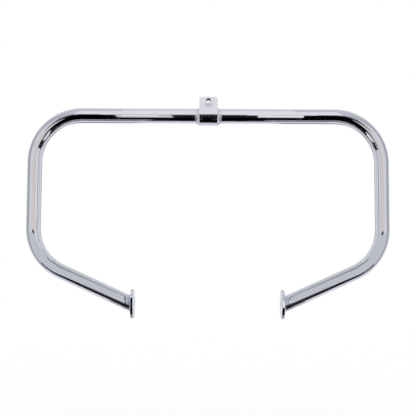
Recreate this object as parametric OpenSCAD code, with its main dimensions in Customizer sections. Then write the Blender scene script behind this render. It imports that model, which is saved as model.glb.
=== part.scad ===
// Chrome-plated engine guard for a motorcycle: one bent steel tube with a formed bracket at
// the middle of its top bar and a bolt plate on the end of each lower arm.
// X runs across the motorcycle, Z is up, and the side with the weld nut faces -Y.
// The origin is the centre of the bracket's bolt hole, on the tab's rear face.

/* [Tube] */
// Outside diameter of the tube (1 1/4 inch)
tube_od = 31.75; // [28:0.05:38]
// Wall thickness of the tube
tube_wall = 2.4; // [1.6:0.1:4]
// Centreline radius of all four bends (about 4 inches)
bend_r = 102; // [90:1:115]
// How much the tube's radius draws in where it is bent
bend_draw = 0.05; // [0.02:0.01:0.2]

/* [Outline] */
// Width over the outside of the lower bends
overall_w = 786; // [740:1:860]
// Straight length of each upright, from bend to bend
upright_l = 142; // [110:1:190]
// Outward lean of the uprights on their way down, in degrees
upright_lean = 1; // [0:0.5:5]
// Slope of the lower arms under the horizontal, in degrees
arm_slope = 24.5; // [18:0.5:30]
// Clear distance between the mounting faces of the two end plates
foot_span = 318; // [280:1:360]

/* [Bracket] */
// Width of the bracket's strap and tab
strap_w = 39; // [32:1:50]
// Thickness of the bracket's plate
strap_t = 4.5; // [3:0.5:6]
// How far the strap wraps down from the front of the tube, in degrees
strap_wrap = 105; // [90:5:150]
// Length of the flat tab above the wrap
tab_l = 36.5; // [34:0.5:50]
// Backward lean of the tab from the vertical, in degrees
tab_lean = 25; // [15:1:35]
// Radius of the tab's two upper corners
tab_corner_r = 3; // [1:0.5:8]
// Distance from the tab's top edge to the centre of its bolt hole
tab_hole_edge = 13; // [11:0.5:16]
// Diameter of the clearance hole in the tab
tab_hole_d = 11; // [9:0.5:12]

/* [Weld nut] */
// Width of the nut across its flats
nut_af = 17; // [15:0.5:19]
// Height of the nut
nut_h = 8; // [6:0.5:10]
// Bore of the nut, the minor diameter of its M10 thread
nut_bore_d = 8.5; // [6.5:0.1:8.8]
// Height of the chamfer on the nut's corners
nut_chamfer = 1.2; // [0.6:0.1:1.5]

/* [End plates] */
// Height of each end plate
plate_h = 60; // [56:1:70]
// Depth of each end plate, front to back
plate_d = 90; // [86:1:110]
// Thickness of each end plate
plate_t = 6; // [4:0.5:10]
// Radius on the long edges of each end plate
plate_edge_r = 1; // [0.5:0.1:1.8]
// Distance between the two bolt holes, front to back
bolt_pitch = 64; // [60:1:66]
// Diameter of the bolt holes, for M10 bolts
bolt_hole_d = 10.5; // [8.5:0.5:11]

/* [Welds] */
// Reach of the bracket's side beads along the tube
strap_bead = 8; // [4:0.5:10]
// Radius of the hollow face of the bracket's side beads
strap_bead_r = 10; // [8:0.5:20]
// Height on the tube to which the bracket's side beads climb, in degrees above the front
strap_bead_top = 70; // [50:5:80]
// Width of each side bead's filling under the edge of the tab
strap_bead_root = 4; // [2:0.5:8]
// Reach of the plate beads over the end plate
plate_bead = 3.5; // [3:0.5:6]
// Slope of the plate beads' outer face, in degrees from the plate
plate_bead_slope = 31; // [25:1:40]

/* [Hidden] */
$fn = 96;

// Small overlap that keeps cuts from ending in the face they cut
cut = 1;

tube_r = tube_od / 2;
strap_r = tube_r + strap_t;

// The top bar's axis, seen from the bolt hole up on the leaning tab
tab_run = tab_l - tab_hole_edge;
bar_y = tube_r * cos(tab_lean) - tab_run * sin(tab_lean);
bar_z = -tube_r * sin(tab_lean) - tab_run * cos(tab_lean);

// Angles through which the tube turns at its upper and lower bends
upper_turn = 90 - upright_lean;
lower_turn = 90 + upright_lean - arm_slope;

// The top bar is straight as far as this on each side of the middle
bar_half = overall_w / 2 - tube_r - bend_r - upright_l * sin(upright_lean);

// The arm leaves the lower bend at this point, in the tube's plane
arm_x = overall_w / 2 - tube_r - bend_r + bend_r * sin(arm_slope);
arm_z = bar_z - bend_r - upright_l * cos(upright_lean) - bend_r * cos(arm_slope);

// The arm's axis meets the outer face of the end plate at this point
foot_x = foot_span / 2 + plate_t;
foot_z = arm_z - (arm_x - foot_x) * tan(arm_slope);
arm_l = (arm_x - foot_x) / cos(arm_slope);

// Each straight and the turn after it, from the middle of the top bar to past the end plate
steps = [[bar_half, upper_turn], [upright_l, lower_turn], [arm_l + tube_r, 0]];

// The weld ring starts inside the tube's wall and ends on the end plate
bead_in = tube_r - plate_bead;
bead_out = tube_r / cos(arm_slope) + plate_bead;

steel = [0.80, 0.81, 0.85];
weld_steel = [0.70, 0.71, 0.76];

// Draws its children on both sides of the middle plane
module both_sides() {
    children();
    mirror([1, 0, 0]) children();
}

// A solid bend of radius r about the origin, turned down from straight up: a ring cut square
// to the tube at both ends
module bend(turn, r) {
    reach = bend_r + r + cut;
    intersection() {
        rotate([90, 0, 0])
            rotate_extrude()
                translate([bend_r, 0])
                    circle(r = r);
        translate([0, -reach / 2, -reach])
            cube([reach, reach, 2 * reach]);
        rotate([0, turn, 0])
            translate([-reach, -reach / 2, -reach])
                cube([reach, reach, 2 * reach]);
    }
}

// Steps i and on of the tube as a solid of radius r: it sets off along X and turns down, and
// the circles of its straights and bends all start on the outside of the bends
module run(r, i = 0) {
    length = steps[i][0];
    turn = steps[i][1];
    rotate([180, -90, 0]) cylinder(r = r, h = length);
    if (turn > 0) translate([length, 0, -bend_r]) {
        bend(turn, r - bend_draw);
        rotate([0, turn, 0])
            translate([0, 0, bend_r])
                run(r, i + 1);
    }
}

// Both halves of the tube as one solid of radius r
module whole_run(r) {
    translate([0, bar_y, bar_z]) both_sides() run(r);
}

// The space between the outer faces of the two end plates
module foot_space() {
    translate([-foot_x, bar_y - plate_d, foot_z - plate_d])
        cube([2 * foot_x, 2 * plate_d, 2 * plate_d]);
}

// One tube, bent four times and cut upright where the end plates close it
module main_tube() {
    color(steel) difference() {
        whole_run(tube_r);
        whole_run(tube_r - tube_wall);
        foot_space();
    }
}

// Puts children on the tab: x across, y up the tab, z out of its front face
module on_tab() {
    rotate([90 - tab_lean, 0, 0]) children();
}

// Puts a revolve round the top bar, with its zero this many degrees up from the tab's root
module round_bar(above) {
    on_tab()
        translate([0, -tab_run, -tube_r])
            rotate([0, 90, 0])
                rotate([0, 0, 180 - above])
                    children();
}

// Outline of the flat tab, with its two upper corners rounded
module tab_outline() {
    translate([-strap_w / 2, -tab_run])
        square([strap_w, tab_l - tab_corner_r]);
    translate([-strap_w / 2 + tab_corner_r, -tab_run])
        square([strap_w - 2 * tab_corner_r, tab_l]);
    for (side = [-1, 1])
        translate([side * (strap_w / 2 - tab_corner_r), tab_hole_edge - tab_corner_r])
            circle(r = tab_corner_r);
}

// One formed strip: it hugs the front and underside of the tube and rises as a flat tab
module top_bracket() {
    color(steel) difference() {
        union() {
            round_bar(0)
                rotate_extrude(angle = tab_lean + strap_wrap)
                    translate([tube_r, -strap_w / 2])
                        square([strap_t, strap_w]);
            on_tab() linear_extrude(height = strap_t) tab_outline();
        }
        on_tab() translate([0, 0, -cut])
            cylinder(d = tab_hole_d, h = strap_t + 2 * cut);
    }
}

// Hexagon weld nut on the tab's front face, with two corners in line with the tab
module tab_nut() {
    nut_corner_r = nut_af / 2 / cos(30);
    color(weld_steel) on_tab() translate([0, 0, strap_t]) difference() {
        intersection() {
            rotate([0, 0, 90])
                cylinder(r = nut_corner_r, h = nut_h, $fn = 6);
            union() {
                cylinder(r = nut_corner_r + cut, h = nut_h - nut_chamfer);
                translate([0, 0, nut_h - nut_chamfer])
                    cylinder(r1 = nut_af / 2 + nut_chamfer * tan(60),
                             r2 = nut_af / 2, h = nut_chamfer);
            }
        }
        translate([0, 0, -cut])
            cylinder(d = nut_bore_d, h = nut_h + 2 * cut);
    }
}

// Hollow-faced section of a side bead: x up the strap's edge, y out along the tube
module strap_bead_section() {
    chord = norm([strap_t, strap_bead]);
    rise = sqrt(pow(strap_bead_r, 2) - pow(chord / 2, 2));
    difference() {
        polygon([[0, 0], [strap_t, 0], [0, strap_bead]]);
        translate([strap_t / 2, strap_bead / 2] + rise * [strap_bead, strap_t] / chord)
            circle(r = strap_bead_r);
    }
}

// The right-hand bead between the bracket and the tube, closed under the edge of the tab
module bracket_weld() {
    round_bar(strap_bead_top - tab_lean)
        rotate_extrude(angle = strap_bead_top + strap_wrap)
            translate([tube_r, strap_w / 2])
                strap_bead_section();
    difference() {
        round_bar(strap_bead_top - tab_lean)
            rotate_extrude(angle = strap_bead_top - tab_lean)
                translate([tube_r, strap_w / 2 - strap_bead_root])
                    square([strap_t, strap_bead_root]);
        on_tab() translate([-strap_w, -tab_l, 0])
            cube([2 * strap_w, 2 * tab_l, 2 * strap_r]);
    }
}

module right_bracket_weld() {
    color(weld_steel) bracket_weld();
}

module left_bracket_weld() {
    color(weld_steel) mirror([1, 0, 0]) bracket_weld();
}

// Section of an end plate with its long edges rounded: x through the plate, y across it
module plate_section(reach) {
    edge_x = plate_t - 2 * plate_edge_r;
    translate([plate_edge_r, 0]) square([edge_x, reach]);
    square([plate_t, reach - plate_edge_r]);
    for (x = [plate_edge_r, plate_t - plate_edge_r])
        translate([x, reach - plate_edge_r])
            circle(r = plate_edge_r);
}

// The right end plate: an oblong with round ends, two bolt holes and a softened rim
module end_plate() {
    straight = plate_d - plate_h;
    half_h = plate_h / 2;
    translate([foot_span / 2, bar_y, foot_z]) difference() {
        union() {
            // Straight middle, front to back, from two mirrored half sections
            translate([0, straight / 2, 0]) rotate([90, 0, 0])
                linear_extrude(height = straight) {
                    plate_section(half_h);
                    mirror([0, 1]) plate_section(half_h);
                }
            // Round ends: the same half section turned about the plate's normal
            for (end = [-1, 1])
                translate([0, end * straight / 2, 0])
                    rotate([0, 90, 0])
                        rotate([0, 0, end * 90 - 90])
                            rotate_extrude(angle = 180)
                                mirror([1, -1, 0]) plate_section(half_h);
        }
        for (end = [-1, 1])
            translate([-cut, end * bolt_pitch / 2, 0])
                rotate([0, 90, 0])
                    cylinder(d = bolt_hole_d, h = plate_t + 2 * cut);
    }
}

module right_end_plate() {
    color(steel) end_plate();
}

module left_end_plate() {
    color(steel) mirror([1, 0, 0]) end_plate();
}

// The right ring bead, seated on the end plate and cut to the tube that stands in it
module plate_weld() {
    difference() {
        translate([foot_x, bar_y, foot_z])
            rotate([0, 90, 0])
                rotate_extrude()
                    polygon([[bead_in, 0], [bead_out, 0],
                             [bead_in, (bead_out - bead_in) * tan(plate_bead_slope)]]);
        translate([foot_x, bar_y, foot_z])
            rotate([0, 90 - arm_slope, 0])
                cylinder(r = tube_r, h = 4 * tube_r, center = true);
    }
}

module right_plate_weld() {
    color(weld_steel) plate_weld();
}

module left_plate_weld() {
    color(weld_steel) mirror([1, 0, 0]) plate_weld();
}

main_tube();
top_bracket();
tab_nut();
left_bracket_weld();
right_bracket_weld();
left_end_plate();
right_end_plate();
left_plate_weld();
right_plate_weld();
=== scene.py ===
# %% [markdown]
# # Chrome crash bars
# One steel tube is bent four times into a loop that stands in front of a motorcycle's engine.
# A formed bracket at the middle of its top bar and a plate on each lower arm bolt it to the
# frame. Everything is polished and chrome plated, so the shapes are simple and the finish is
# hard: a mirror shows every flat spot, and it looks only as good as what stands round it.
#
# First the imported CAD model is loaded. It fixes where every piece goes, and each new piece
# below replaces one CAD node at the same place and size.

# %% Load the frame
import math

import bmesh
import bpy
from mathutils import Matrix, Vector


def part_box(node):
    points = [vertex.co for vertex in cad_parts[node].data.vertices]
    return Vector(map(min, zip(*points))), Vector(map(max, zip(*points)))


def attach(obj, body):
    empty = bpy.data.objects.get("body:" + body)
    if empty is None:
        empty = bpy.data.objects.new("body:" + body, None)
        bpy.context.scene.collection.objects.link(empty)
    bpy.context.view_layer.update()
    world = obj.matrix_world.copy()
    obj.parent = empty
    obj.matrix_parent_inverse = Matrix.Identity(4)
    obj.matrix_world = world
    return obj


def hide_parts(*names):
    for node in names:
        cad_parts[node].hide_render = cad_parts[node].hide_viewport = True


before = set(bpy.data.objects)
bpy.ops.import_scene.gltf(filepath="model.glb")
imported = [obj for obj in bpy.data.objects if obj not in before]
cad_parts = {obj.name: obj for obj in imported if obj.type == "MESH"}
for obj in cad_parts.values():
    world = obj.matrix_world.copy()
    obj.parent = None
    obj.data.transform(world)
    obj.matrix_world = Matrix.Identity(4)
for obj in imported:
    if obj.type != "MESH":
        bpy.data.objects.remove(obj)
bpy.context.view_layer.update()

# %% [markdown]
# ## Sizes
# The CAD model's own sizes, in metres. Where a piece goes is read from the frame, so the
# numbers here are only those that a box can't give: radii, lengths and angles.

# %% Sizes
MM = 0.001
TUBE_R = 31.75 / 2 * MM
TUBE_WALL = 2.4 * MM
BEND_R = 102 * MM
UPRIGHT_LENGTH = 142 * MM
UPRIGHT_LEAN = math.radians(1)
ARM_SLOPE = math.radians(24.5)
STRAP_WIDTH = 39 * MM
STRAP_THICK = 4.5 * MM
STRAP_WRAP = math.radians(105)
TAB_LENGTH = 36.5 * MM
TAB_LEAN = math.radians(25)
TAB_CORNER_R = 3 * MM
TAB_HOLE_FROM_TOP = 13 * MM
TAB_HOLE_R = 11 / 2 * MM

tube_low, tube_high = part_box("main_tube")
plate_low, plate_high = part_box("right_end_plate")
BAR = Vector((0, (tube_low.y + tube_high.y) / 2, tube_high.z - TUBE_R))
FOOT = Vector((plate_high.x, BAR.y, (plate_low.z + plate_high.z) / 2))
PLATE_THICK = plate_high.x - plate_low.x
PLATE_HEIGHT = plate_high.z - plate_low.z
PLATE_DEPTH = plate_high.y - plate_low.y
BOLT_PITCH = 64 * MM
BOLT_HOLE_R = 10.5 / 2 * MM
print("Middle of the top bar:", tuple(BAR))
print("Right foot on the plate's outer face:", tuple(FOOT))

# %% [markdown]
# ## Two moves that make every round part
# A bender makes a tube from two moves: feed it straight, or turn it about a former. A loop of
# edges in bmesh takes the same two moves, `extrude_edge_only` for a straight length and `spin`
# for a bend, so the whole tube comes from one circle. Spinning keeps every ring exactly round
# and square to the tube, which a hand-placed path would not.

# %% Feed and bend
def feed(bm, rim, offset, steps=1):
    """Extrudes a loop of edges along offset, in equal steps, and returns the last loop."""
    for _ in range(steps):
        made = bmesh.ops.extrude_edge_only(bm, edges=rim)["geom"]
        fresh = {v for v in made if isinstance(v, bmesh.types.BMVert)}
        bmesh.ops.translate(bm, verts=list(fresh), vec=offset / steps)
        rim = [e for e in made if isinstance(e, bmesh.types.BMEdge) and set(e.verts) <= fresh]
    return rim


def bend(bm, rim, centre, axis, angle, steps):
    """Turns a loop of edges about an axis through centre, and returns the last loop."""
    verts = list({v for e in rim for v in e.verts})
    made = bmesh.ops.spin(bm, geom=verts + rim, cent=centre, axis=axis, angle=angle,
                          steps=steps, use_merge=False, use_duplicate=False)
    return [e for e in made["geom_last"] if isinstance(e, bmesh.types.BMEdge)]


def open_edges(bm):
    """The edges that only one face uses: the rims of a shell that isn't closed yet."""
    return [e for e in bm.edges if len(e.link_faces) == 1]


def to_object(name, bm):
    """Turns a bmesh into an object in the scene, with its faces pointing outwards."""
    bmesh.ops.remove_doubles(bm, verts=bm.verts[:], dist=1e-7)
    bmesh.ops.recalc_face_normals(bm, faces=bm.faces[:])
    loose = len([e for e in bm.edges if len(e.link_faces) != 2])
    mesh = bpy.data.meshes.new(name)
    bm.to_mesh(mesh)
    bm.free()
    piece = bpy.data.objects.new(name, mesh)
    bpy.context.scene.collection.objects.link(piece)
    mesh.shade_smooth()
    size = [round(1000 * d, 1) for d in piece.dimensions]
    print(f"{name}: {len(mesh.polygons)} faces, {size} mm, {loose} edges not shared by two")
    return piece


# %% [markdown]
# ## The tube
# The real tube is one length of 1 1/4 inch steel, bent cold on a former. A curve with a round
# bevel would be quicker, but its rings bunch up inside the bends and the wall would need a
# second curve. Here one circle is fed and bent into half of the tube, twice: once for the
# outside and once for the bore. The end is cut upright where the plate closes it, the two
# shells are bridged at the cut, and the half is mirrored.

# %% The tube
RING_POINTS = 128
BEND_STEPS = 64
UPPER_TURN = math.pi / 2 - UPRIGHT_LEAN
LOWER_TURN = math.pi / 2 + UPRIGHT_LEAN - ARM_SLOPE
BAR_HALF = 786 / 2 * MM - TUBE_R - BEND_R - UPRIGHT_LENGTH * math.sin(UPRIGHT_LEAN)
PAST_PLATE = 200 * MM
Y_AXIS = Vector((0, 1, 0))


def half_sleeve(bm, radius):
    """Right half of a sleeve on the tube's centre line, from the middle of the top bar on."""
    across = Matrix.Translation(BAR) @ Matrix.Rotation(math.pi / 2, 4, "Y")
    ring = bmesh.ops.create_circle(bm, segments=RING_POINTS, radius=radius, matrix=across)
    rim = list({e for v in ring["verts"] for e in v.link_edges})
    here, heading = BAR.copy(), 0.0
    for length, turn in ((BAR_HALF, UPPER_TURN), (UPRIGHT_LENGTH, LOWER_TURN), (PAST_PLATE, 0)):
        ahead = Vector((math.cos(heading), 0, -math.sin(heading)))
        rim = feed(bm, rim, ahead * length, steps=4)
        here = here + ahead * length
        if turn:
            inward = Vector((-math.sin(heading), 0, -math.cos(heading)))
            centre = here + inward * BEND_R
            rim = bend(bm, rim, centre, Y_AXIS, turn, BEND_STEPS)
            here = centre + Matrix.Rotation(turn, 3, "Y") @ (here - centre)
            heading += turn
    print("  the sleeve has turned by", round(math.degrees(heading), 2), "degrees at its end")


def make_tube():
    """Both sleeves, cut upright at the foot, joined there and mirrored."""
    bm = bmesh.new()
    half_sleeve(bm, TUBE_R)
    half_sleeve(bm, TUBE_R - TUBE_WALL)
    arm = {v for v in bm.verts if v.co.z < FOOT.z + BEND_R}
    near_foot = [v for v in bm.verts if v in arm]
    near_foot += [e for e in bm.edges if arm.issuperset(e.verts)]
    near_foot += [f for f in bm.faces if arm.issuperset(f.verts)]
    bmesh.ops.bisect_plane(bm, geom=near_foot, plane_co=FOOT, plane_no=(-1, 0, 0),
                           clear_outer=True)
    bmesh.ops.bridge_loops(bm, edges=[e for e in open_edges(bm) if e.verts[0].co.x > FOOT.x / 2])
    bmesh.ops.mirror(bm, geom=bm.verts[:] + bm.edges[:] + bm.faces[:], axis="X", merge_dist=1e-6)
    return to_object("guard_tube", bm)


tube = make_tube()

# %% [markdown]
# ## Cutting and softening
# Holes are cut with an exact Boolean, which leaves knife-sharp edges. No plated part has those:
# the edges are broken and polished first, because plating flakes off a sharp edge, and a
# rounded edge is what catches the light in the photograph. So every hard edge gets a small
# bevel, and a Weighted Normal modifier keeps the flat faces flat in the mirror finish.

# %% Cut, soften and mirror
PAST_FACE = 1 * MM  # how far a cutting tool stands out of the piece


def solid_of_revolution(name, radius_low, radius_high, height, frame_matrix, segments=96):
    """A closed cone or cylinder that stands on the frame's origin along its z."""
    bm = bmesh.new()
    middle = frame_matrix @ Matrix.Translation((0, 0, height / 2))
    bmesh.ops.create_cone(bm, cap_ends=True, segments=segments, radius1=radius_low,
                          radius2=radius_high, depth=height, matrix=middle)
    return to_object(name, bm)


def carve(piece, tool, operation="DIFFERENCE"):
    """Cuts the tool out of the piece, or keeps what both share, and deletes the tool."""
    boolean = piece.modifiers.new("carve", "BOOLEAN")
    boolean.object, boolean.operation, boolean.solver = tool, operation, "EXACT"
    seen = piece.evaluated_get(bpy.context.evaluated_depsgraph_get())
    carved = bpy.data.meshes.new_from_object(seen)
    piece.modifiers.clear()
    piece.data = carved
    bpy.data.objects.remove(tool)


def soften(piece, width, angle=math.radians(35), segments=3):
    """Rounds every edge that turns by more than the angle."""
    bm = bmesh.new()
    bm.from_mesh(piece.data)
    hard = [e for e in bm.edges if len(e.link_faces) == 2 and e.calc_face_angle(0) > angle]
    bmesh.ops.bevel(bm, geom=hard, offset=width, segments=segments, profile=0.5,
                    affect="EDGES", material=-1, clamp_overlap=True)
    bmesh.ops.recalc_face_normals(bm, faces=bm.faces[:])
    bm.to_mesh(piece.data)
    bm.free()
    piece.data.shade_smooth()
    weighted = piece.modifiers.new("flat faces stay flat", "WEIGHTED_NORMAL")
    weighted.keep_sharp = True
    print(f"{piece.name}: {len(hard)} edges softened by {width / MM:.1f} mm")


def mirrored(piece, name):
    """A copy on the other side of the middle plane, turned the right way out."""
    bm = bmesh.new()
    bm.from_mesh(piece.data)
    bmesh.ops.scale(bm, verts=bm.verts[:], vec=(-1, 1, 1))
    bmesh.ops.reverse_faces(bm, faces=bm.faces[:])
    twin = to_object(name, bm)
    for modifier in piece.modifiers:
        twin.modifiers.new(modifier.name, modifier.type)
    return twin


# %% [markdown]
# ## The bracket
# It is one strip of steel: a flat tab with a bolt hole at the top, rolled round the front and
# underside of the bar below. So it is made as the shop makes it, from one rectangle that is
# fed down the tab and then bent round the bar. Working in the tab's own frame, x across, y up
# and z out of its front, keeps the numbers plain, and the lean is applied at the end.

# %% The bracket
TAB = Matrix.Rotation(math.pi / 2 - TAB_LEAN, 4, "X")
TAB_RUN = TAB_LENGTH - TAB_HOLE_FROM_TOP
WRAP_STEPS = 65
CORNER_SEGMENTS = 10
BRACKET_EDGE_R = 0.8 * MM


def make_bracket():
    """The strip's section, fed down the tab and bent round the bar, with its hole and edges."""
    bm = bmesh.new()
    section = (Matrix.Translation((0, TAB_HOLE_FROM_TOP, STRAP_THICK / 2))
               @ Matrix.Rotation(math.pi / 2, 4, "X"))
    bmesh.ops.create_grid(bm, x_segments=1, y_segments=1, size=0.5)
    bmesh.ops.scale(bm, verts=bm.verts[:], vec=(STRAP_WIDTH, STRAP_THICK, 1))
    bmesh.ops.transform(bm, verts=bm.verts[:], matrix=section)
    bmesh.ops.delete(bm, geom=bm.faces[:], context="FACES_ONLY")
    rim = feed(bm, bm.edges[:], Vector((0, -TAB_LENGTH, 0)))
    bend(bm, rim, (0, -TAB_RUN, -TUBE_R), (1, 0, 0), TAB_LEAN + STRAP_WRAP, WRAP_STEPS)
    bmesh.ops.holes_fill(bm, edges=open_edges(bm), sides=4)
    corners = [e for e in bm.edges
               if all(abs(v.co.y - TAB_HOLE_FROM_TOP) < 1e-6 for v in e.verts)
               and abs(e.verts[0].co.x - e.verts[1].co.x) < 1e-6]
    bmesh.ops.bevel(bm, geom=corners, offset=TAB_CORNER_R, segments=CORNER_SEGMENTS, profile=0.5,
                    affect="EDGES", material=-1)
    bmesh.ops.transform(bm, verts=bm.verts[:], matrix=TAB)
    strip = to_object("guard_bracket", bm)
    through = TAB @ Matrix.Translation((0, 0, -STRAP_THICK))
    carve(strip, solid_of_revolution("hole", TAB_HOLE_R, TAB_HOLE_R, 3 * STRAP_THICK, through))
    soften(strip, BRACKET_EDGE_R)
    return strip


bracket = make_bracket()

# %% [markdown]
# ## The weld nut
# An M10 nut, 17 mm across its flats, is welded over the hole with two corners in line with the
# tab. Its corners are turned off by a 30 degree chamfer, which is what makes the curved edges
# on each flat: a hexagonal bar and a cone, and what both share is the nut. The thread is a real
# helix. `spin` draws it when it is also given a little travel with each step.

# %% The weld nut
NUT_FLATS = 17 * MM
NUT_HEIGHT = 8 * MM
THREAD_MAJOR_R = 5 * MM
THREAD_MINOR_R = 4.25 * MM
THREAD_PITCH = 1.5 * MM
THREAD_STEPS = 40
RIDGE_HALF_ROOT = 0.66 * MM
RIDGE_HALF_CREST = 0.12 * MM
RIDGE_INTO_WALL = 0.05 * MM
NUT_EDGE_R = 0.35 * MM


def thread_ridge(bm, base_z, height):
    """A helical ridge, its root just inside the wall of the bore, closed at both ends."""
    root, crest = RIDGE_HALF_ROOT, RIDGE_HALF_CREST
    wall_r = THREAD_MAJOR_R + RIDGE_INTO_WALL
    corners = [(wall_r, -root), (THREAD_MINOR_R, -crest), (THREAD_MINOR_R, crest), (wall_r, root)]
    verts = [bm.verts.new((r, 0, base_z + root + z)) for r, z in corners]
    rim = [bm.edges.new((verts[i], verts[i - 1])) for i in range(4)]
    turns = (height - 2 * root) / THREAD_PITCH
    bmesh.ops.spin(bm, geom=verts + rim, cent=(0, 0, 0), axis=(0, 0, 1),
                   dvec=(0, 0, THREAD_PITCH / THREAD_STEPS), angle=2 * math.pi * turns,
                   steps=round(turns * THREAD_STEPS), use_merge=False, use_duplicate=False)
    bmesh.ops.holes_fill(bm, edges=open_edges(bm), sides=4)


def make_nut():
    """Bar and cone, bored through, with the ridge of the thread in the bore."""
    seat = TAB @ Matrix.Translation((0, 0, STRAP_THICK))
    corner_r = NUT_FLATS / 2 / math.cos(math.pi / 6)
    nut = solid_of_revolution("guard_weld_nut", corner_r, corner_r, NUT_HEIGHT, seat, segments=6)
    widest = NUT_FLATS / 2 + NUT_HEIGHT * math.tan(math.pi / 3)
    carve(nut, solid_of_revolution("chamfer", widest, NUT_FLATS / 2, NUT_HEIGHT, seat), "INTERSECT")
    below = seat @ Matrix.Translation((0, 0, -PAST_FACE))
    carve(nut, solid_of_revolution("bore", THREAD_MAJOR_R, THREAD_MAJOR_R,
                                   NUT_HEIGHT + 2 * PAST_FACE, below))
    soften(nut, NUT_EDGE_R, angle=math.radians(20))
    bm = bmesh.new()
    thread_ridge(bm, STRAP_THICK, NUT_HEIGHT)
    bmesh.ops.recalc_face_normals(bm, faces=bm.faces[:])
    bmesh.ops.transform(bm, verts=bm.verts[:], matrix=TAB)
    bm.from_mesh(nut.data)
    bm.to_mesh(nut.data)
    bm.free()
    nut.data.shade_smooth()
    nut.data.set_sharp_from_angle(angle=math.radians(50))
    return nut


nut = make_nut()

# %% [markdown]
# ## The end plates
# Each arm ends in an oblong plate with two bolt holes, fore and aft of the tube. A circle
# becomes an oblong when its front half is slid forwards and its back half backwards. The
# circle is turned by half a step first, so that no corner lies on the line where it parts.

# %% The end plates
PLATE_POINTS = 96
PLATE_EDGE_R = 0.9 * MM


def make_plate():
    """The right plate: a parted circle, given its thickness, two holes and soft edges."""
    bm = bmesh.new()
    upright = (Matrix.Rotation(math.pi / 2, 4, "Y")
               @ Matrix.Rotation(math.pi / PLATE_POINTS, 4, "Z"))
    bmesh.ops.create_circle(bm, cap_ends=True, segments=PLATE_POINTS, radius=PLATE_HEIGHT / 2,
                            matrix=upright)
    for side in (-1, 1):
        half = [v for v in bm.verts if v.co.y * side > 0]
        bmesh.ops.translate(bm, verts=half, vec=(0, side * (PLATE_DEPTH - PLATE_HEIGHT) / 2, 0))
    made = bmesh.ops.extrude_face_region(bm, geom=bm.faces[:])["geom"]
    bmesh.ops.translate(bm, verts=[v for v in made if isinstance(v, bmesh.types.BMVert)],
                        vec=(PLATE_THICK, 0, 0))
    bmesh.ops.translate(bm, verts=bm.verts[:], vec=(plate_low.x, FOOT.y, FOOT.z))
    plate = to_object("guard_plate_right", bm)
    for side in (-1, 1):
        start = (plate_low.x - PAST_FACE, FOOT.y + side * BOLT_PITCH / 2, FOOT.z)
        way = Matrix.Translation(start) @ Matrix.Rotation(math.pi / 2, 4, "Y")
        carve(plate, solid_of_revolution("hole", BOLT_HOLE_R, BOLT_HOLE_R,
                                         PLATE_THICK + 2 * PAST_FACE, way))
    soften(plate, PLATE_EDGE_R)
    return plate


plate_right = make_plate()
plate_left = mirrored(plate_right, "guard_plate_left")

# %% [markdown]
# ## The weld beads
# A bead is a fillet that a welder lays in small overlapping pools, so its face is a row of fine
# crescents, here about 2 mm apart and softened by polishing. Each bead is a section spun round
# its tube. Then its outer points are lifted and lowered a little along the bead: that is the
# ripple, in the shape itself and not only in the shading.

# %% The weld beads
RIPPLE_PITCH = 2.2 * MM
RIPPLE_DEPTH = 0.08 * MM
FACE_STEPS = 8
# The bead beside the bracket
BEAD_TOP = math.radians(70)  # its upper end, above the bar's front
BEAD_REACH = 8 * MM  # from the strap's edge along the bar
BEAD_HOLLOW_R = 10 * MM
BEAD_ROOT = 4 * MM  # from the strap's edge in under the strap
BEAD_INTO_TUBE = 0.3 * MM
BEAD_RUN_OUT = 3 * MM  # the length over which it gets lower at an end
BEAD_END_HEIGHT = 0.25  # the share of its height that it keeps there
BEAD_UNDER_STRAP = 0.6 * MM  # how far it stays behind the strap's front
BEAD_STEPS = 240
CRESCENT_SLANT = 0.25
# The ring between arm and plate
PLATE_BEAD = 3.5 * MM
PLATE_BEAD_SLOPE = math.radians(31)
PLATE_BEAD_CROWN = 0.35 * MM
PLATE_BEAD_STEPS = 288
PLATE_CRESCENT_SLANT = 250  # radians per metre across the bead
X_AXIS = Vector((1, 0, 0))


def closed_loop(bm, points):
    """A closed loop of edges through a few points."""
    verts = [bm.verts.new(p) for p in points]
    return verts, [bm.edges.new((verts[i - 1], verts[i])) for i in range(len(verts))]


def hollow_face():
    """Points of the bead's hollow face, from the strap's outer edge down to the tube."""
    low, high = Vector((BEAD_REACH, 0)), Vector((0, STRAP_THICK))
    chord = low - high
    rise = math.sqrt(BEAD_HOLLOW_R ** 2 - (chord.length / 2) ** 2)
    centre = (low + high) / 2 + rise * Vector((STRAP_THICK, BEAD_REACH)).normalized()
    start, end = high - centre, low - centre
    turn = start.angle_signed(end)
    return [centre + Matrix.Rotation(-turn * k / FACE_STEPS, 2) @ start
            for k in range(FACE_STEPS + 1)]


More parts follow.
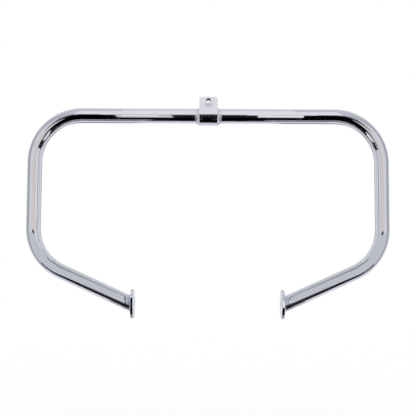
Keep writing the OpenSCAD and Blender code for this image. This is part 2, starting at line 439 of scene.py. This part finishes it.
def make_bracket_bead():
    """The right-hand bead between the bracket and the bar, from above the tab's root down."""
    bm = bmesh.new()
    inner = TUBE_R - BEAD_INTO_TUBE
    edge = STRAP_WIDTH / 2
    outline = [(edge - BEAD_ROOT, inner), (edge - BEAD_ROOT, TUBE_R + STRAP_THICK)]
    outline += [(edge + p.x, TUBE_R + p.y) for p in hollow_face()]
    outline += [(edge + BEAD_REACH, inner)]
    total = BEAD_TOP + STRAP_WRAP
    top = Vector((0, -math.cos(BEAD_TOP), math.sin(BEAD_TOP)))
    verts, rim = closed_loop(bm, [BAR + X_AXIS * x + top * r for x, r in outline])
    bmesh.ops.spin(bm, geom=verts + rim, cent=BAR, axis=X_AXIS, angle=total, steps=BEAD_STEPS,
                   use_merge=False, use_duplicate=False)
    for v in bm.verts:
        arm = Vector((0, v.co.y - BAR.y, v.co.z - BAR.z))
        proud = arm.length - TUBE_R
        if proud <= 0:
            continue
        # Where the point stands: its angle above the front, and its way along and out of the bead.
        above = math.atan2(arm.z, -arm.y)
        above = above if above > -STRAP_WRAP - 0.01 else above + 2 * math.pi
        along = (BEAD_TOP - above) * TUBE_R
        out = max(0.0, v.co.x - edge)
        # The bead runs out at both ends, and ripples where it is free.
        to_end = min(along, total * TUBE_R - along)
        full = min(1.0, max(0.0, to_end / BEAD_RUN_OUT)) ** 0.5
        proud = proud * (BEAD_END_HEIGHT + (1 - BEAD_END_HEIGHT) * full)
        if 0.02 * MM < out < 0.97 * BEAD_REACH:
            crescent = math.cos(2 * math.pi * (along + out * CRESCENT_SLANT) / RIPPLE_PITCH)
            proud += RIPPLE_DEPTH * crescent
        # Under the strap it stays below the strap's front, and below the tab where that leaves.
        if out == 0 and above > TAB_LEAN:
            proud = min(proud, TUBE_R / math.cos(above - TAB_LEAN) - TUBE_R)
        if out == 0 and above <= TAB_LEAN:
            proud = min(proud, STRAP_THICK - BEAD_UNDER_STRAP)
        v.co = Vector((v.co.x, BAR.y, BAR.z)) + arm.normalized() * (TUBE_R + proud)
    bmesh.ops.holes_fill(bm, edges=open_edges(bm), sides=len(outline))
    return to_object("guard_bracket_bead_right", bm)


def make_plate_bead():
    """The ring bead between the right arm and its plate."""
    bm = bmesh.new()
    outer = TUBE_R / math.cos(ARM_SLOPE) + PLATE_BEAD
    inner = TUBE_R - PLATE_BEAD
    width = outer - inner
    height = width * math.tan(PLATE_BEAD_SLOPE)
    outline = [(outer - width * k / FACE_STEPS,
                height * k / FACE_STEPS + PLATE_BEAD_CROWN * math.sin(math.pi * k / FACE_STEPS))
               for k in range(FACE_STEPS + 1)]
    outline += [(inner, 0)]
    verts, rim = closed_loop(bm, [FOOT + Vector((h, 0, r)) for r, h in outline])
    bmesh.ops.spin(bm, geom=verts + rim, cent=FOOT, axis=X_AXIS, angle=2 * math.pi,
                   steps=PLATE_BEAD_STEPS, use_merge=True, use_duplicate=False)
    ripples = round(2 * math.pi * outer / RIPPLE_PITCH)
    for v in bm.verts:
        radius = math.hypot(v.co.y - FOOT.y, v.co.z - FOOT.z)
        lift = v.co.x - FOOT.x
        if lift > 0.05 * MM and radius > inner + 0.1 * MM:
            turn = math.atan2(v.co.z - FOOT.z, v.co.y - FOOT.y)
            slant = PLATE_CRESCENT_SLANT * (outer - radius)
            v.co.x += RIPPLE_DEPTH * math.cos(ripples * turn + slant)
    return to_object("guard_plate_bead_right", bm)


bracket_bead_right = make_bracket_bead()
bracket_bead_left = mirrored(bracket_bead_right, "guard_bracket_bead_left")
plate_bead_right = make_plate_bead()
plate_bead_left = mirrored(plate_bead_right, "guard_plate_bead_left")

# %% [markdown]
# ## Bright chrome
# Decorative chrome is a layer a thousandth of a millimetre thick over polished nickel and
# steel. It is a metal with a slightly blue mirror, and it copies whatever lies under it. So
# there are four finishes of the same plating: on the buffed tube, on the flat steel, on the nut
# and on the weld beads. Each differs in how smooth the steel under it was. A fifth finish is the
# steel of the thread, where no plating reaches.
#
# Colours are written as sRGB hex, as a paint program shows them, and one function turns them
# into the linear values that Blender reckons with.

# %% Colours and nodes
def from_hex(code):
    """An sRGB hex colour as linear red, green, blue and alpha."""
    shares = [int(code[i:i + 2], 16) / 255 for i in (0, 2, 4)]
    linear = [c / 12.92 if c <= 0.04045 else ((c + 0.055) / 1.055) ** 2.4 for c in shares]
    return (*linear, 1.0)


def add_node(tree, kind, inputs=None, **settings):
    """Adds a node, sets its properties, and fills or links its inputs."""
    node = tree.nodes.new(kind)
    for name, value in settings.items():
        setattr(node, name, value)
    for socket, value in (inputs or {}).items():
        if isinstance(value, bpy.types.NodeSocket):
            tree.links.new(value, node.inputs[socket])
        else:
            node.inputs[socket].default_value = value
    return node


# %% [markdown]
# ## One plating, four kinds of steel under it
# The sizes that the eye can find on polished chrome are these. Buffing leaves the steel slightly
# wavy, over 30 mm or so on a tube, and the waves bend every reflection a little. The buffing
# wheel also leaves a haze in streaks a few millimetres wide, which is a change of roughness.
# The plating isn't equally thick everywhere, so over some centimetres its colour drifts a trace
# warmer and back. Every pattern reads Object coordinates in metres, so a noise scale of
# 1 / (size in metres) gives the real size.

# %% The plated finishes
TINT_SIZE = 45 * MM
STREAK_SHARE = 0.35  # along z the haze is drawn out to about three times its width


def grain(tree, place, size, **inputs):
    """A noise whose patches are as large as size, which is in metres."""
    inputs = {"Vector": place, "Scale": 1 / size, **inputs}
    return add_node(tree, "ShaderNodeTexNoise", inputs).outputs["Fac"]


def relief(tree, height, depth, **inputs):
    """A surface that rises by depth, which is in metres, where height is 1."""
    inputs = {"Height": height, "Strength": 1.0, "Distance": depth, **inputs}
    return add_node(tree, "ShaderNodeBump", inputs).outputs["Normal"]


def chrome_plate(name, bright, warm, haze, streak_mm, wave_mm, wave_height_mm,
                 pit_mm=0.0, pit_height_mm=0.0):
    """Chrome plating whose haze, streaks, waves and pits are given in real sizes."""
    finish = bpy.data.materials.new(name)
    finish.use_nodes = True
    tree = finish.node_tree
    tree.nodes.clear()
    place = add_node(tree, "ShaderNodeTexCoord").outputs["Object"]
    tint = grain(tree, place, TINT_SIZE, Detail=2.0)
    colour = add_node(tree, "ShaderNodeMix", {"Factor": tint, "A": from_hex(bright),
                                              "B": from_hex(warm)}, data_type="RGBA")
    drawn = add_node(tree, "ShaderNodeMapping",
                     {"Vector": place, "Scale": (1.0, 1.0, STREAK_SHARE)}).outputs["Vector"]
    streaks = grain(tree, drawn, streak_mm * MM, Detail=3.0, Roughness=0.6)
    rough = add_node(tree, "ShaderNodeMapRange",
                     {"Value": streaks, "From Min": 0.3, "From Max": 0.75,
                      "To Min": haze[0], "To Max": haze[1]})
    waves = grain(tree, place, wave_mm * MM, Detail=0.0)
    normal = relief(tree, waves, wave_height_mm * MM)
    if pit_mm:
        pits = grain(tree, place, pit_mm * MM, Detail=2.0)
        normal = relief(tree, pits, pit_height_mm * MM, Normal=normal)
    shader = add_node(tree, "ShaderNodeBsdfPrincipled",
                      {"Base Color": colour.outputs["Result"], "Metallic": 1.0,
                       "Roughness": rough.outputs["Result"], "Normal": normal})
    add_node(tree, "ShaderNodeOutputMaterial", {"Surface": shader.outputs["BSDF"]})
    print(f"{name}: haze {haze}, streaks {streak_mm} mm, waves {wave_mm} mm")
    return finish


# A near-perfect mirror, with long, shallow waves from the buffing wheel.
chrome_on_tube = chrome_plate("chrome_on_buffed_tube", "E8E9EF", "E4E4E8",
                              haze=(0.02, 0.055), streak_mm=4.0,
                              wave_mm=32.0, wave_height_mm=0.03)
# A trace duller than the tube, because flat steel is harder to buff evenly.
chrome_on_flat = chrome_plate("chrome_on_flat_steel", "E6E7EE", "E2E2E7",
                              haze=(0.04, 0.09), streak_mm=3.0,
                              wave_mm=18.0, wave_height_mm=0.02)
# The nut isn't buffed: it is hazier, and its fine pits break up the highlights.
chrome_on_nut = chrome_plate("chrome_on_nut", "E8E9EF", "E2E2E7",
                             haze=(0.05, 0.10), streak_mm=1.5,
                             wave_mm=6.0, wave_height_mm=0.01, pit_mm=0.7, pit_height_mm=0.003)
# A brushed-down bead keeps small pits, and its plating drifts further towards warm.
chrome_on_weld = chrome_plate("chrome_on_weld_bead", "E6E7ED", "DDDCE0",
                              haze=(0.05, 0.12), streak_mm=1.2,
                              wave_mm=5.0, wave_height_mm=0.02, pit_mm=0.6, pit_height_mm=0.004)
# Plating doesn't reach into a thread: the steel there stays dark, brownish and rougher.
bare_thread = chrome_plate("bare_steel_in_thread", "5E4F48", "3F3632",
                           haze=(0.25, 0.45), streak_mm=0.8,
                           wave_mm=3.0, wave_height_mm=0.01)

# %% [markdown]
# ## Every piece in its place
# Each piece gets its finish, rides on the frame, and says which CAD node it stands for.

# %% Dress the pieces
for piece, node, slot, finish in (
        (tube, "main_tube", "plated_tube", chrome_on_tube),
        (bracket, "top_bracket", "plated_plate", chrome_on_flat),
        (nut, "tab_nut", "plated_nut", chrome_on_nut),
        (plate_left, "left_end_plate", "plated_plate", chrome_on_flat),
        (plate_right, "right_end_plate", "plated_plate", chrome_on_flat),
        (bracket_bead_left, "left_bracket_weld", "plated_weld", chrome_on_weld),
        (bracket_bead_right, "right_bracket_weld", "plated_weld", chrome_on_weld),
        (plate_bead_left, "left_plate_weld", "plated_weld", chrome_on_weld),
        (plate_bead_right, "right_plate_weld", "plated_weld", chrome_on_weld)):
    piece.data.materials.clear()
    piece.data.materials.append(finish)
    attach(piece, "root")
    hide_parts(node)
    low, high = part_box(node)
    gaps = []
    for i in range(3):
        places = [corner[i] for corner in piece.bound_box]
        gaps += [abs(min(places) - low[i]) / MM, abs(max(places) - high[i]) / MM]
    print(f"{piece.name} stands for {node}; its box differs by {max(gaps):.2f} mm at most")

# %% The bare thread
# A face of the nut belongs to the thread when all its corners lie within the thread's radius.
nut.data.materials.append(bare_thread)
into_tab = TAB.inverted()
from_axis = [(into_tab @ v.co).xy.length for v in nut.data.vertices]
within = THREAD_MAJOR_R + 2 * RIDGE_INTO_WALL
for face in nut.data.polygons:
    if max(from_axis[i] for i in face.vertices) < within:
        face.material_index = 1
print("faces of bare thread:", sum(face.material_index for face in nut.data.polygons))

# %% [markdown]
# ## The set
# Chrome has no colour of its own to speak of: it shows the room, so the room is built as a
# product photographer builds it. The floor and the world are white paper. A pale tent stands
# round the object, and only reflections can see it. In the tent hang cards: black ones draw the
# dark core lines that make a tube look round, white ones draw the bright strips, and grey ones
# shade the sides. Each card is flat and square to the frame, and most come in pairs.

# %% Sheets and their finishes
def plain_finish(name, code, glow=None):
    """A matt white for the floor, or an even glow for tent and cards."""
    finish = bpy.data.materials.new(name)
    finish.use_nodes = True
    tree = finish.node_tree
    tree.nodes.clear()
    colour = {"Color": from_hex(code)}
    if glow is None:
        shader = add_node(tree, "ShaderNodeBsdfDiffuse", colour).outputs["BSDF"]
    else:
        colour["Strength"] = glow
        shader = add_node(tree, "ShaderNodeEmission", colour).outputs["Emission"]
        finish.cycles.emission_sampling = "NONE"
    add_node(tree, "ShaderNodeOutputMaterial", {"Surface": shader})
    return finish


def flat_sheet(name, low, high, finish):
    """A flat sheet between two opposite corners, which agree along one axis."""
    low, high = Vector(low), Vector(high)
    span = high - low
    thin = min(range(3), key=lambda i: span[i])
    turns = (Matrix.Rotation(math.pi / 2, 4, "Y"), Matrix.Rotation(-math.pi / 2, 4, "X"),
             Matrix.Identity(4))
    bm = bmesh.new()
    bmesh.ops.create_grid(bm, x_segments=1, y_segments=1, size=0.5)
    bmesh.ops.transform(bm, verts=bm.verts[:], matrix=turns[thin])
    bmesh.ops.scale(bm, verts=bm.verts[:], vec=[1 if i == thin else span[i] for i in range(3)])
    bmesh.ops.translate(bm, verts=bm.verts[:], vec=(low + high) / 2)
    sheet = to_object(name, bm)
    sheet.data.materials.append(finish)
    return sheet


def hang(name, low, high, finish):
    """A sheet that only reflections see: it is hidden from the camera and the floor's light."""
    sheet = flat_sheet(name, low, high, finish)
    sheet.visible_camera = sheet.visible_diffuse = False
    sheet.visible_shadow = sheet.visible_transmission = False


# %% Floor and world
FLOOR_Z = -0.70
floor = flat_sheet("floor", (-6, -5, FLOOR_Z), (6, 8, FLOOR_Z),
                   plain_finish("white_paper_floor", "FFFFFF"))
floor.visible_glossy = False

world = bpy.data.worlds.new("white_paper_backdrop")
bpy.context.scene.world = world
world.use_nodes = True
world.node_tree.nodes.clear()
background = add_node(world.node_tree, "ShaderNodeBackground",
                      {"Color": from_hex("FFFFFF"), "Strength": 1.0})
add_node(world.node_tree, "ShaderNodeOutputWorld", {"Surface": background.outputs["Background"]})

# %% The tent
# The papers and cards that the set is cut from, two blacks, three greys and four papers.
BLACK_VELVET, BLACK_CARD = "050405", "1E191D"
DARK_GREY, MID_GREY, LIGHT_GREY = "77727A", "999A9E", "B2B4BB"
COOL_PAPER, PALE_PAPER, WARM_PAPER, WHITE_PAPER = "CFD2D9", "E0E3E8", "E0D9D6", "F3F2F5"
TENT_LOW, TENT_HIGH = Vector((-7, -7, -4)), Vector((7, 4, 5))
tent_glow = plain_finish("pale_tent_cloth", PALE_PAPER, 1.0)
for axis, names in enumerate((("left", "right"), ("front", "back"), ("floor", "roof"))):
    for name, level in zip(names, (TENT_LOW[axis], TENT_HIGH[axis])):
        low, high = TENT_LOW.copy(), TENT_HIGH.copy()
        low[axis] = high[axis] = level
        hang("tent_" + name, low, high, tent_glow)

# %% The cards
# Name, side, low corner, high corner (in metres) and stock. A pair stands on both sides. The
# names say on which part of the tube the card draws a band.
CARDS = (
    ("bar_core_low", "pair", (-0.1, -1.5, -0.65), (0.16, -0.1, -0.65), BLACK_VELVET),
    ("bar_core_high", "pair", (-0.4, -2.6, -3.1), (0.58, -2.6, 0.45), BLACK_CARD),
    ("bar_core_lower_edge", "pair", (-3, -0.62, -0.695), (3, -0.02, -0.695), BLACK_CARD),
    ("bar_core_outer", "pair", (-0.5, -0.25, -0.52), (-0.2, -0.25, -0.32), BLACK_VELVET),
    ("bar_core_middle", "pair", (0, -1.45, -0.8), (0.7, -1.45, -0.55), BLACK_CARD),
    ("bar_underside", "pair", (-0.2, 0.01, -0.623), (0.31, 0.065, -0.623), BLACK_VELVET),
    ("bar_top", "pair", (-0.1, -0.07, -0.005), (0.3, -0.07, 0.5), WHITE_PAPER),
    ("bar_top_line", "pair", (-0.1, -0.5, 0.05), (0, -0.5, 0.2), DARK_GREY),
    ("bar_patch", "pair", (0.12, -0.33, -0.1), (0.21, -0.33, 0.01), WHITE_PAPER),
    ("bar_patch_right", "right", (0.135, -0.66, -0.28), (0.7, -0.66, 0.1), WHITE_PAPER),
    ("bar_patch_left", "left", (0.11, -1.025, -0.58), (0.278, -1.025, 0.6), COOL_PAPER),
    ("bar_middle_post", "pair", (-0.033, -0.478, -1.8), (-0.029, -0.478, 0.2), COOL_PAPER),
    ("shoulder_core", "pair", (0.235, -0.38, -0.52), (0.39, -0.38, 0.05), BLACK_VELVET),
    ("shoulder_core_low", "pair", (0.555, -5.1, -0.643), (1.3, -0.2, -0.643), BLACK_VELVET),
    ("shoulder_gap", "pair", (-0.9, -0.8, -0.69), (-0.27, -0.33, -0.69), WHITE_PAPER),
    ("shoulder_top", "pair", (0.35, -0.07, 0.02), (0.5, -0.07, 0.2), LIGHT_GREY),
    ("shoulder_shade", "pair", (-0.6, -0.403, -0.48), (-0.27, -0.403, 0.4), DARK_GREY),
    ("roof_edge", "pair", (0.2, -1.1, 0.19), (1.2, 0.1, 0.19), COOL_PAPER),
    ("upright_face", "pair", (0.32, -0.16, -0.277), (0.45, -0.16, -0.038), WARM_PAPER),
    ("upright_side", "pair", (0.48, -0.5, -1.1), (0.48, 1.1, 0.8), PALE_PAPER),
    ("upright_outer_edge", "pair", (0.475, -0.05, -0.5), (0.475, 0.05, 1.3), LIGHT_GREY),
    ("lower_bend_side", "pair", (0.44, -0.28, -0.7), (0.44, -0.01, -0.41), DARK_GREY),
    ("arm_face", "pair", (0.14, -0.076, -0.435), (3, -0.076, -0.282), COOL_PAPER),
    ("arm_highlight", "pair", (0.14, -0.175, -0.49), (0.7, -0.175, -0.44), WHITE_PAPER),
    ("arm_underside", "pair", (0.31, -0.07, -0.7), (0.6, -0.07, -0.44), BLACK_VELVET),
    ("arm_lower_edge", "pair", (0.1, -0.155, -0.55), (2.9, -0.155, -0.48), DARK_GREY),
    ("arm_upper_edge", "pair", (0, -0.07, -0.39), (0.15, -0.07, -0.34), BLACK_CARD),
    ("arm_top_line", "pair", (-2.3, -3, 2.3), (2.1, -0.5, 2.3), MID_GREY),
    ("arm_top", "pair", (0.7, -0.3, 2.7), (2.8, 2, 2.7), COOL_PAPER),
)
for name, side, low, high, code in CARDS:
    glow = plain_finish("card_" + name, code, 1.0)
    if side in ("pair", "right"):
        hang(f"card_{name}_right", low, high, glow)
    if side in ("pair", "left"):
        hang(f"card_{name}_left", (-high[0], *low[1:]), (-low[0], *high[1:]), glow)

# %% Flags and walls
# Narrow flags close to the end plates darken their front edges, and small white strips end them.
# Behind, a dark wall on each side, with a pale window before it, gives the back of the tube its
# contrast. The middle stays open, because the end plates' inner faces look there.
FLAG_BLACK, STRIP_WHITE, WALL_BLACK, WINDOW_WHITE = "0A0A0C", "FFFFFF", "17171B", "F2F2F4"
for name, low, high, code in (
        ("flag_left", (-0.168, -0.056, -0.520), (-0.159, -0.056, -0.380), FLAG_BLACK),
        ("flag_right", (0.159, -0.056, -0.510), (0.168, -0.056, -0.443), FLAG_BLACK),
        ("strip_left", (-0.168, -0.056, -0.378), (-0.159, -0.056, -0.330), STRIP_WHITE),
        ("strip_right", (0.159, -0.056, -0.441), (0.168, -0.056, -0.410), STRIP_WHITE),
        ("wall_right", (0.26, 1.60, -1.50), (1.20, 1.60, -0.06), WALL_BLACK),
        ("wall_left", (-1.20, 1.60, -1.50), (-0.26, 1.60, -0.06), WALL_BLACK),
        ("wall_window_right", (0.50, 1.50, -0.45), (0.72, 1.50, 0.20), WINDOW_WHITE),
        ("wall_window_left", (-0.90, 1.50, -0.45), (-0.62, 1.50, 0.20), WINDOW_WHITE)):
    hang(name, low, high, plain_finish("card_" + name, code, 1.0))

# %% [markdown]
# ## The camera
# The photograph is taken from straight in front, at about the height of the loop's middle. The
# scale of the picture and the slight parallax between tab and tube suggest a long lens from 2.6
# metres, and the top bar falls to the right by a third of a degree, which is the camera's roll.

# %% The camera
CAMERA_AWAY = 2.6
CAMERA_ASIDE = 0.06 * MM
CAMERA_UNDER_BAR = 198.4 * MM
CAMERA_ROLL = 0.005  # radians
FOCAL_MM, SENSOR_MM = 104.1, 36.0
lens = bpy.data.cameras.new("studio_camera")
lens.lens, lens.sensor_width = FOCAL_MM, SENSOR_MM
camera = bpy.data.objects.new("studio_camera", lens)
bpy.context.scene.collection.objects.link(camera)
stand = Vector((CAMERA_ASIDE, BAR.y - CAMERA_AWAY, BAR.z - CAMERA_UNDER_BAR))
camera.matrix_world = (Matrix.Translation(stand) @ Matrix.Rotation(math.pi / 2, 4, "X")
                       @ Matrix.Rotation(CAMERA_ROLL, 4, "Z"))
bpy.context.scene.camera = camera
bpy.context.scene.view_settings.view_transform = "Standard"
print("Camera at", [round(v, 3) for v in stand], "with a lens of", FOCAL_MM, "mm")
